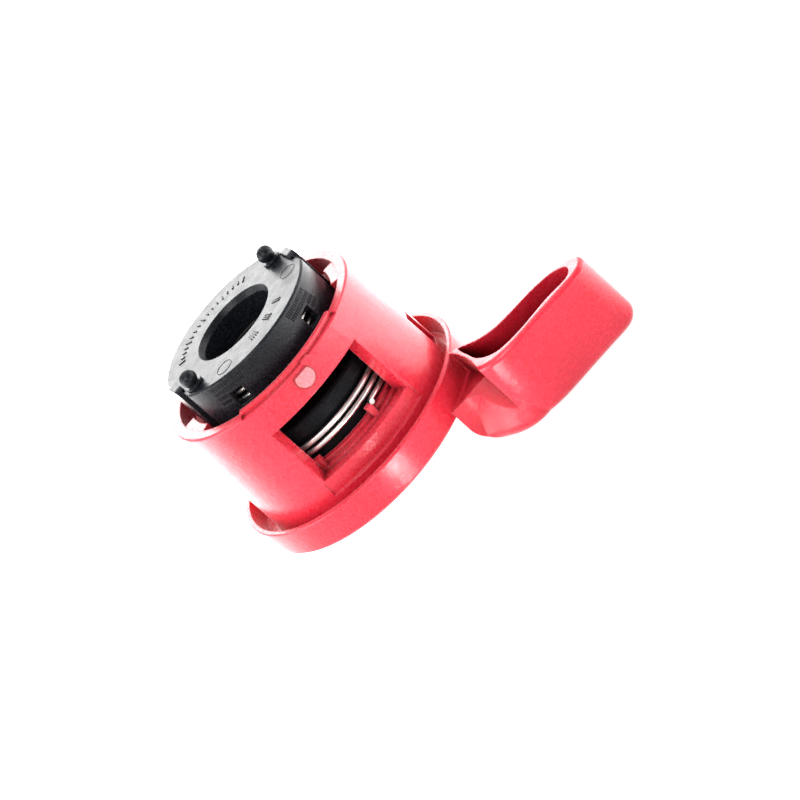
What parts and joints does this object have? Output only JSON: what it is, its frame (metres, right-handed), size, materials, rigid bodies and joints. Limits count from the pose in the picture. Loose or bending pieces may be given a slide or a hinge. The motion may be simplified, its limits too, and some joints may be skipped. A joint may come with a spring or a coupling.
{
  "type": "fuel nozzle",
  "caption": "Twist-lever head of a fuel nozzle: a flanged red cup with a side window turns on a black core, opens a poppet valve and carries a spring-loaded collar.",
  "frame": {"origin": "on the axis, at the inlet's mouth, in the plane of the flange's underside", "axes": "+Z along the axis from inlet to outlet; the window is on the -Y side and the lever on the +X side"},
  "size_m": [0.0718, 0.0551, 0.0461],
  "materials": {
    "red_plastic": "satin, fine moulded texture",
    "black_plastic": "satin, fine moulded texture",
    "spring_steel": "drawn wire",
    "steel": "turned",
    "brass": "turned",
    "seal_rubber": "smooth"
  },
  "bodies": {
    "valve_core": {"core_drum": "black_plastic", "latch_hook_left": "black_plastic", "latch_hook_right": "black_plastic", "valve_seat": "brass", "stem_guide": "black_plastic", "inlet_filter": "steel", "inlet_seal": "seal_rubber", "body_seal": "seal_rubber", "thrust_washer": "steel", "retaining_ring": "spring_steel"},
    "lever_turret": {"lever_housing": "red_plastic", "cam_ring": "black_plastic", "return_spring": "spring_steel"},
    "collar": {"collar_ring": "black_plastic", "ball_pin_left": "black_plastic", "ball_pin_right": "black_plastic", "outlet_seal": "seal_rubber", "collar_spring": "spring_steel"},
    "poppet": {"poppet_disc": "brass", "poppet_seal": "seal_rubber", "poppet_stem": "steel", "cam_pin": "steel", "poppet_spring": "spring_steel"}
  },
  "joints": [
    {"name": "lever_turn", "type": "hinge", "parent": "valve_core", "child": "lever_turret", "pos_m": [0, 0, 0], "axis": [0, 0, 1], "range_deg": [0, 48], "stiffness_Nm_per_rad": 0.12, "springref_deg": -25.78},
    {"name": "collar_press", "type": "slide", "parent": "valve_core", "child": "collar", "axis": [0, 0, 1], "range_m": [-0.003, 0], "stiffness_N_per_m": 500, "springref_m": 0.004, "deforming": ["collar_spring"]},
    {"name": "valve_lift", "type": "slide", "parent": "valve_core", "child": "poppet", "axis": [0, 0, 1], "range_m": [0, 0.0024], "deforming": ["poppet_spring"]}
  ],
  "couplings": [
    {"joint": "valve_lift", "follows": "lever_turn", "m_per_rad": 0.0028647}
  ]
}
